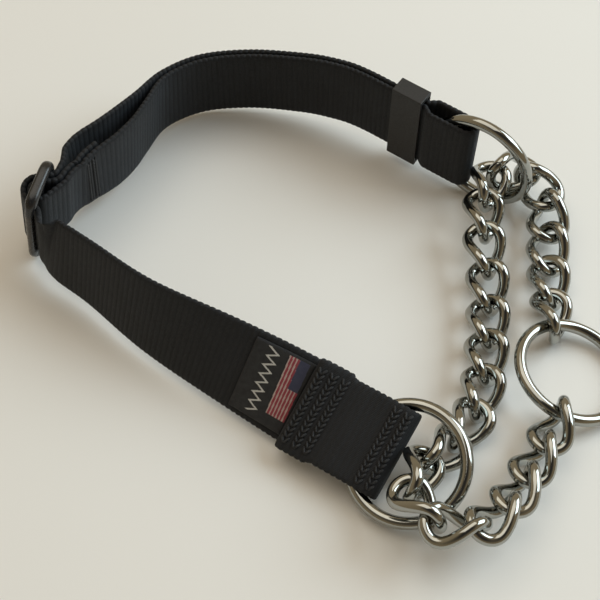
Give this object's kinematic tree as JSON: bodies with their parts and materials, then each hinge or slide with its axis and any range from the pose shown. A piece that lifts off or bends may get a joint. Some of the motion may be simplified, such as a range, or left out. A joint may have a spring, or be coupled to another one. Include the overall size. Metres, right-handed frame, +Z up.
{
  "type": "martingale collar",
  "caption": "Webbing martingale collar with strap rings, a sliding keeper, a bar slider and a closed loop of twisted steel links that carries a control ring, laid open on a table.",
  "frame": {"origin": "middle of the bounding box in plan, on the table the collar lies on", "axes": "+Z up from the table, +X along the longest extent from the slider towards the control ring, +Y away from the label side"},
  "size_m": [0.1746, 0.1623, 0.0362],
  "materials": {
    "webbing": "ribbed woven nylon",
    "label": "woven patch",
    "thread": "twisted thread",
    "keeper": "matte moulded",
    "slider": "gloss moulded",
    "chrome": "polished plate"
  },
  "bodies": {
    "strap": {"strap": "webbing", "label": "label", "tab_stitches": "thread", "loop_stitches": "thread"},
    "keeper": {"keeper": "keeper"},
    "slider": {"slider": "slider"},
    "ring_label_end": {"ring_label_end": "chrome"},
    "ring_keeper_end": {"ring_keeper_end": "chrome"},
    "control_ring": {"control_ring": "chrome"},
    "link_01": {"link_01": "chrome"},
    "link_02": {"link_02": "chrome"},
    "link_03": {"link_03": "chrome"},
    "link_04": {"link_04": "chrome"},
    "link_05": {"link_05": "chrome"},
    "link_06": {"link_06": "chrome"},
    "link_07": {"link_07": "chrome"},
    "link_08": {"link_08": "chrome"},
    "link_09": {"link_09": "chrome"},
    "link_10": {"link_10": "chrome"},
    "link_11": {"link_11": "chrome"},
    "link_12": {"link_12": "chrome"},
    "link_13": {"link_13": "chrome"},
    "link_14": {"link_14": "chrome"},
    "link_15": {"link_15": "chrome"},
    "link_16": {"link_16": "chrome"},
    "link_17": {"link_17": "chrome"},
    "link_18": {"link_18": "chrome"},
    "link_19": {"link_19": "chrome"},
    "link_20": {"link_20": "chrome"},
    "link_21": {"link_21": "chrome"},
    "link_22": {"link_22": "chrome"}
  },
  "joints": [
    {"name": "keeper_slide", "type": "slide", "parent": "strap", "child": "keeper", "axis": [-0.8167, 0.576, 0.0349], "range_m": [0, 0.01]},
    {"name": "slider_rock", "type": "hinge", "parent": "strap", "child": "slider", "pos_m": [-0.08008, 0.02232, 0.01815], "axis": [0.1512, -0.1795, 0.9721], "range_deg": [-2.5, 2.5]},
    {"name": "ring_label_end_turn", "type": "hinge", "parent": "strap", "child": "ring_label_end", "pos_m": [0.02312, -0.05546, 0.00988], "axis": [-0.242, -0.3655, 0.8988], "continuous": true},
    {"name": "ring_keeper_end_turn", "type": "hinge", "parent": "strap", "child": "ring_keeper_end", "pos_m": [0.0497, 0.0422, 0.01742], "axis": [0.5692, 0.8205, 0.0523], "continuous": true},
    {"name": "link_07_roll", "type": "hinge", "parent": "strap", "child": "link_07", "pos_m": [0.0546, 0.04277, 0.01131], "axis": [-0.3703, -0.928, 0.0417], "range_deg": [-4, 3]},
    {"name": "link_16_roll", "type": "hinge", "parent": "strap", "child": "link_16", "pos_m": [0.02821, -0.05471, 0.00979], "axis": [-0.4618, -0.845, 0.2698], "range_deg": [-4, 8]},
    {"name": "control_lift_1", "type": "hinge", "parent": "strap", "child": "link_06", "pos_m": [0.0546, 0.04277, 0.01131], "axis": [-0.2839, -0.9588, 0.0146], "range_deg": [0, 12]},
    {"name": "control_lift_1_b", "type": "hinge", "parent": "strap", "child": "link_17", "pos_m": [0.02281, -0.06458, 0.01294], "axis": [-0.2839, -0.9588, 0.0146], "range_deg": [0, 12]},
    {"name": "control_lift_2", "type": "hinge", "parent": "link_06", "child": "link_05", "pos_m": [0.06411, 0.04475, 0.0092], "axis": [-0.2868, -0.9571, 0.0415], "range_deg": [0, 22]},
    {"name": "control_lift_2_b", "type": "hinge", "parent": "link_17", "child": "link_18", "pos_m": [0.02848, -0.07417, 0.01435], "axis": [-0.2868, -0.9571, 0.0415], "range_deg": [0, 22]},
    {"name": "control_lift_3", "type": "hinge", "parent": "link_05", "child": "link_04", "pos_m": [0.07062, 0.03494, 0.0077], "axis": [-0.2697, -0.9616, 0.0514], "range_deg": [0, 18]},
    {"name": "control_lift_3_b", "type": "hinge", "parent": "link_18", "child": "link_19", "pos_m": [0.03978, -0.07498, 0.01357], "axis": [-0.2697, -0.9616, 0.0514], "range_deg": [0, 18]},
    {"name": "control_lift_4", "type": "hinge", "parent": "link_04", "child": "link_03", "pos_m": [0.06951, 0.02332, 0.00627], "axis": [-0.2292, -0.9721, 0.0498], "range_deg": [0, 10]},
    {"name": "control_lift_4_b", "type": "hinge", "parent": "link_19", "child": "link_20", "pos_m": [0.04811, -0.06745, 0.01091], "axis": [-0.2292, -0.9721, 0.0498], "range_deg": [0, 10]},
    {"name": "control_lift_5", "type": "hinge", "parent": "link_03", "child": "link_02", "pos_m": [0.06807, 0.01166, 0.00543], "axis": [-0.1944, -0.9804, 0.0332], "range_deg": [0, 5]},
    {"name": "control_lift_5_b", "type": "hinge", "parent": "link_20", "child": "link_21", "pos_m": [0.05427, -0.05792, 0.00779], "axis": [-0.1944, -0.9804, 0.0332], "range_deg": [0, 5]},
    {"name": "control_lift_6", "type": "hinge", "parent": "link_02", "child": "link_01", "pos_m": [0.06749, -0.00011, 0.00538], "axis": [-0.1424, -0.9895, 0.0268], "range_deg": [0, 5]},
    {"name": "control_lift_6_b", "type": "hinge", "parent": "link_21", "child": "link_22", "pos_m": [0.06059, -0.04806, 0.00668], "axis": [-0.1424, -0.9895, 0.0268], "range_deg": [0, 5]},
    {"name": "control_ring_flip", "type": "hinge", "parent": "link_01", "child": "control_ring", "pos_m": [0.06704, -0.0109, 0.00641], "axis": [-0.0475, -0.9988, 0.0091], "range_deg": [0, 8]},
    {"name": "front_lift_1", "type": "hinge", "parent": "strap", "child": "link_08", "pos_m": [0.05035, 0.03214, 0.01179], "axis": [-0.2471, -0.9687, -0.0223], "range_deg": [0, 4]},
    {"name": "front_lift_1_b", "type": "hinge", "parent": "strap", "child": "link_15", "pos_m": [0.02821, -0.05471, 0.00979], "axis": [-0.2471, -0.9687, -0.0223], "range_deg": [0, 4]},
    {"name": "front_lift_2", "type": "hinge", "parent": "link_08", "child": "link_09", "pos_m": [0.04945, 0.02056, 0.01024], "axis": [-0.1829, -0.982, -0.0467], "range_deg": [0, 7]},
    {"name": "front_lift_2_b", "type": "hinge", "parent": "link_15", "child": "link_14", "pos_m": [0.03685, -0.04713, 0.00702], "axis": [-0.1829, -0.982, -0.0467], "range_deg": [0, 7]},
    {"name": "front_lift_3", "type": "hinge", "parent": "link_09", "child": "link_10", "pos_m": [0.04976, 0.00913, 0.0074], "axis": [-0.14, -0.9897, -0.0282], "range_deg": [0, 8]},
    {"name": "front_lift_3_b", "type": "hinge", "parent": "link_14", "child": "link_13", "pos_m": [0.04319, -0.03729, 0.00608], "axis": [-0.14, -0.9897, -0.0282], "range_deg": [0, 8]},
    {"name": "front_lift_4", "type": "hinge", "parent": "link_10", "child": "link_11", "pos_m": [0.04924, -0.00251, 0.00562], "axis": [-0.125, -0.9921, 0.0041], "range_deg": [0, 12]},
    {"name": "front_lift_4_b", "type": "hinge", "parent": "link_13", "child": "link_12", "pos_m": [0.04629, -0.0259, 0.00572], "axis": [-0.125, -0.9921, 0.0041], "range_deg": [0, 12]}
  ],
  "couplings": [
    {"joint": "control_lift_1_b", "follows": "control_lift_1", "ratio": 1},
    {"joint": "control_lift_2_b", "follows": "control_lift_2", "ratio": 1},
    {"joint": "control_lift_3_b", "follows": "control_lift_3", "ratio": 1},
    {"joint": "control_lift_4_b", "follows": "control_lift_4", "ratio": 1},
    {"joint": "control_lift_5_b", "follows": "control_lift_5", "ratio": 1},
    {"joint": "control_lift_6_b", "follows": "control_lift_6", "ratio": 1},
    {"joint": "front_lift_1_b", "follows": "front_lift_1", "ratio": 1},
    {"joint": "front_lift_2_b", "follows": "front_lift_2", "ratio": 1},
    {"joint": "front_lift_3_b", "follows": "front_lift_3", "ratio": 1},
    {"joint": "front_lift_4_b", "follows": "front_lift_4", "ratio": 1}
  ]
}
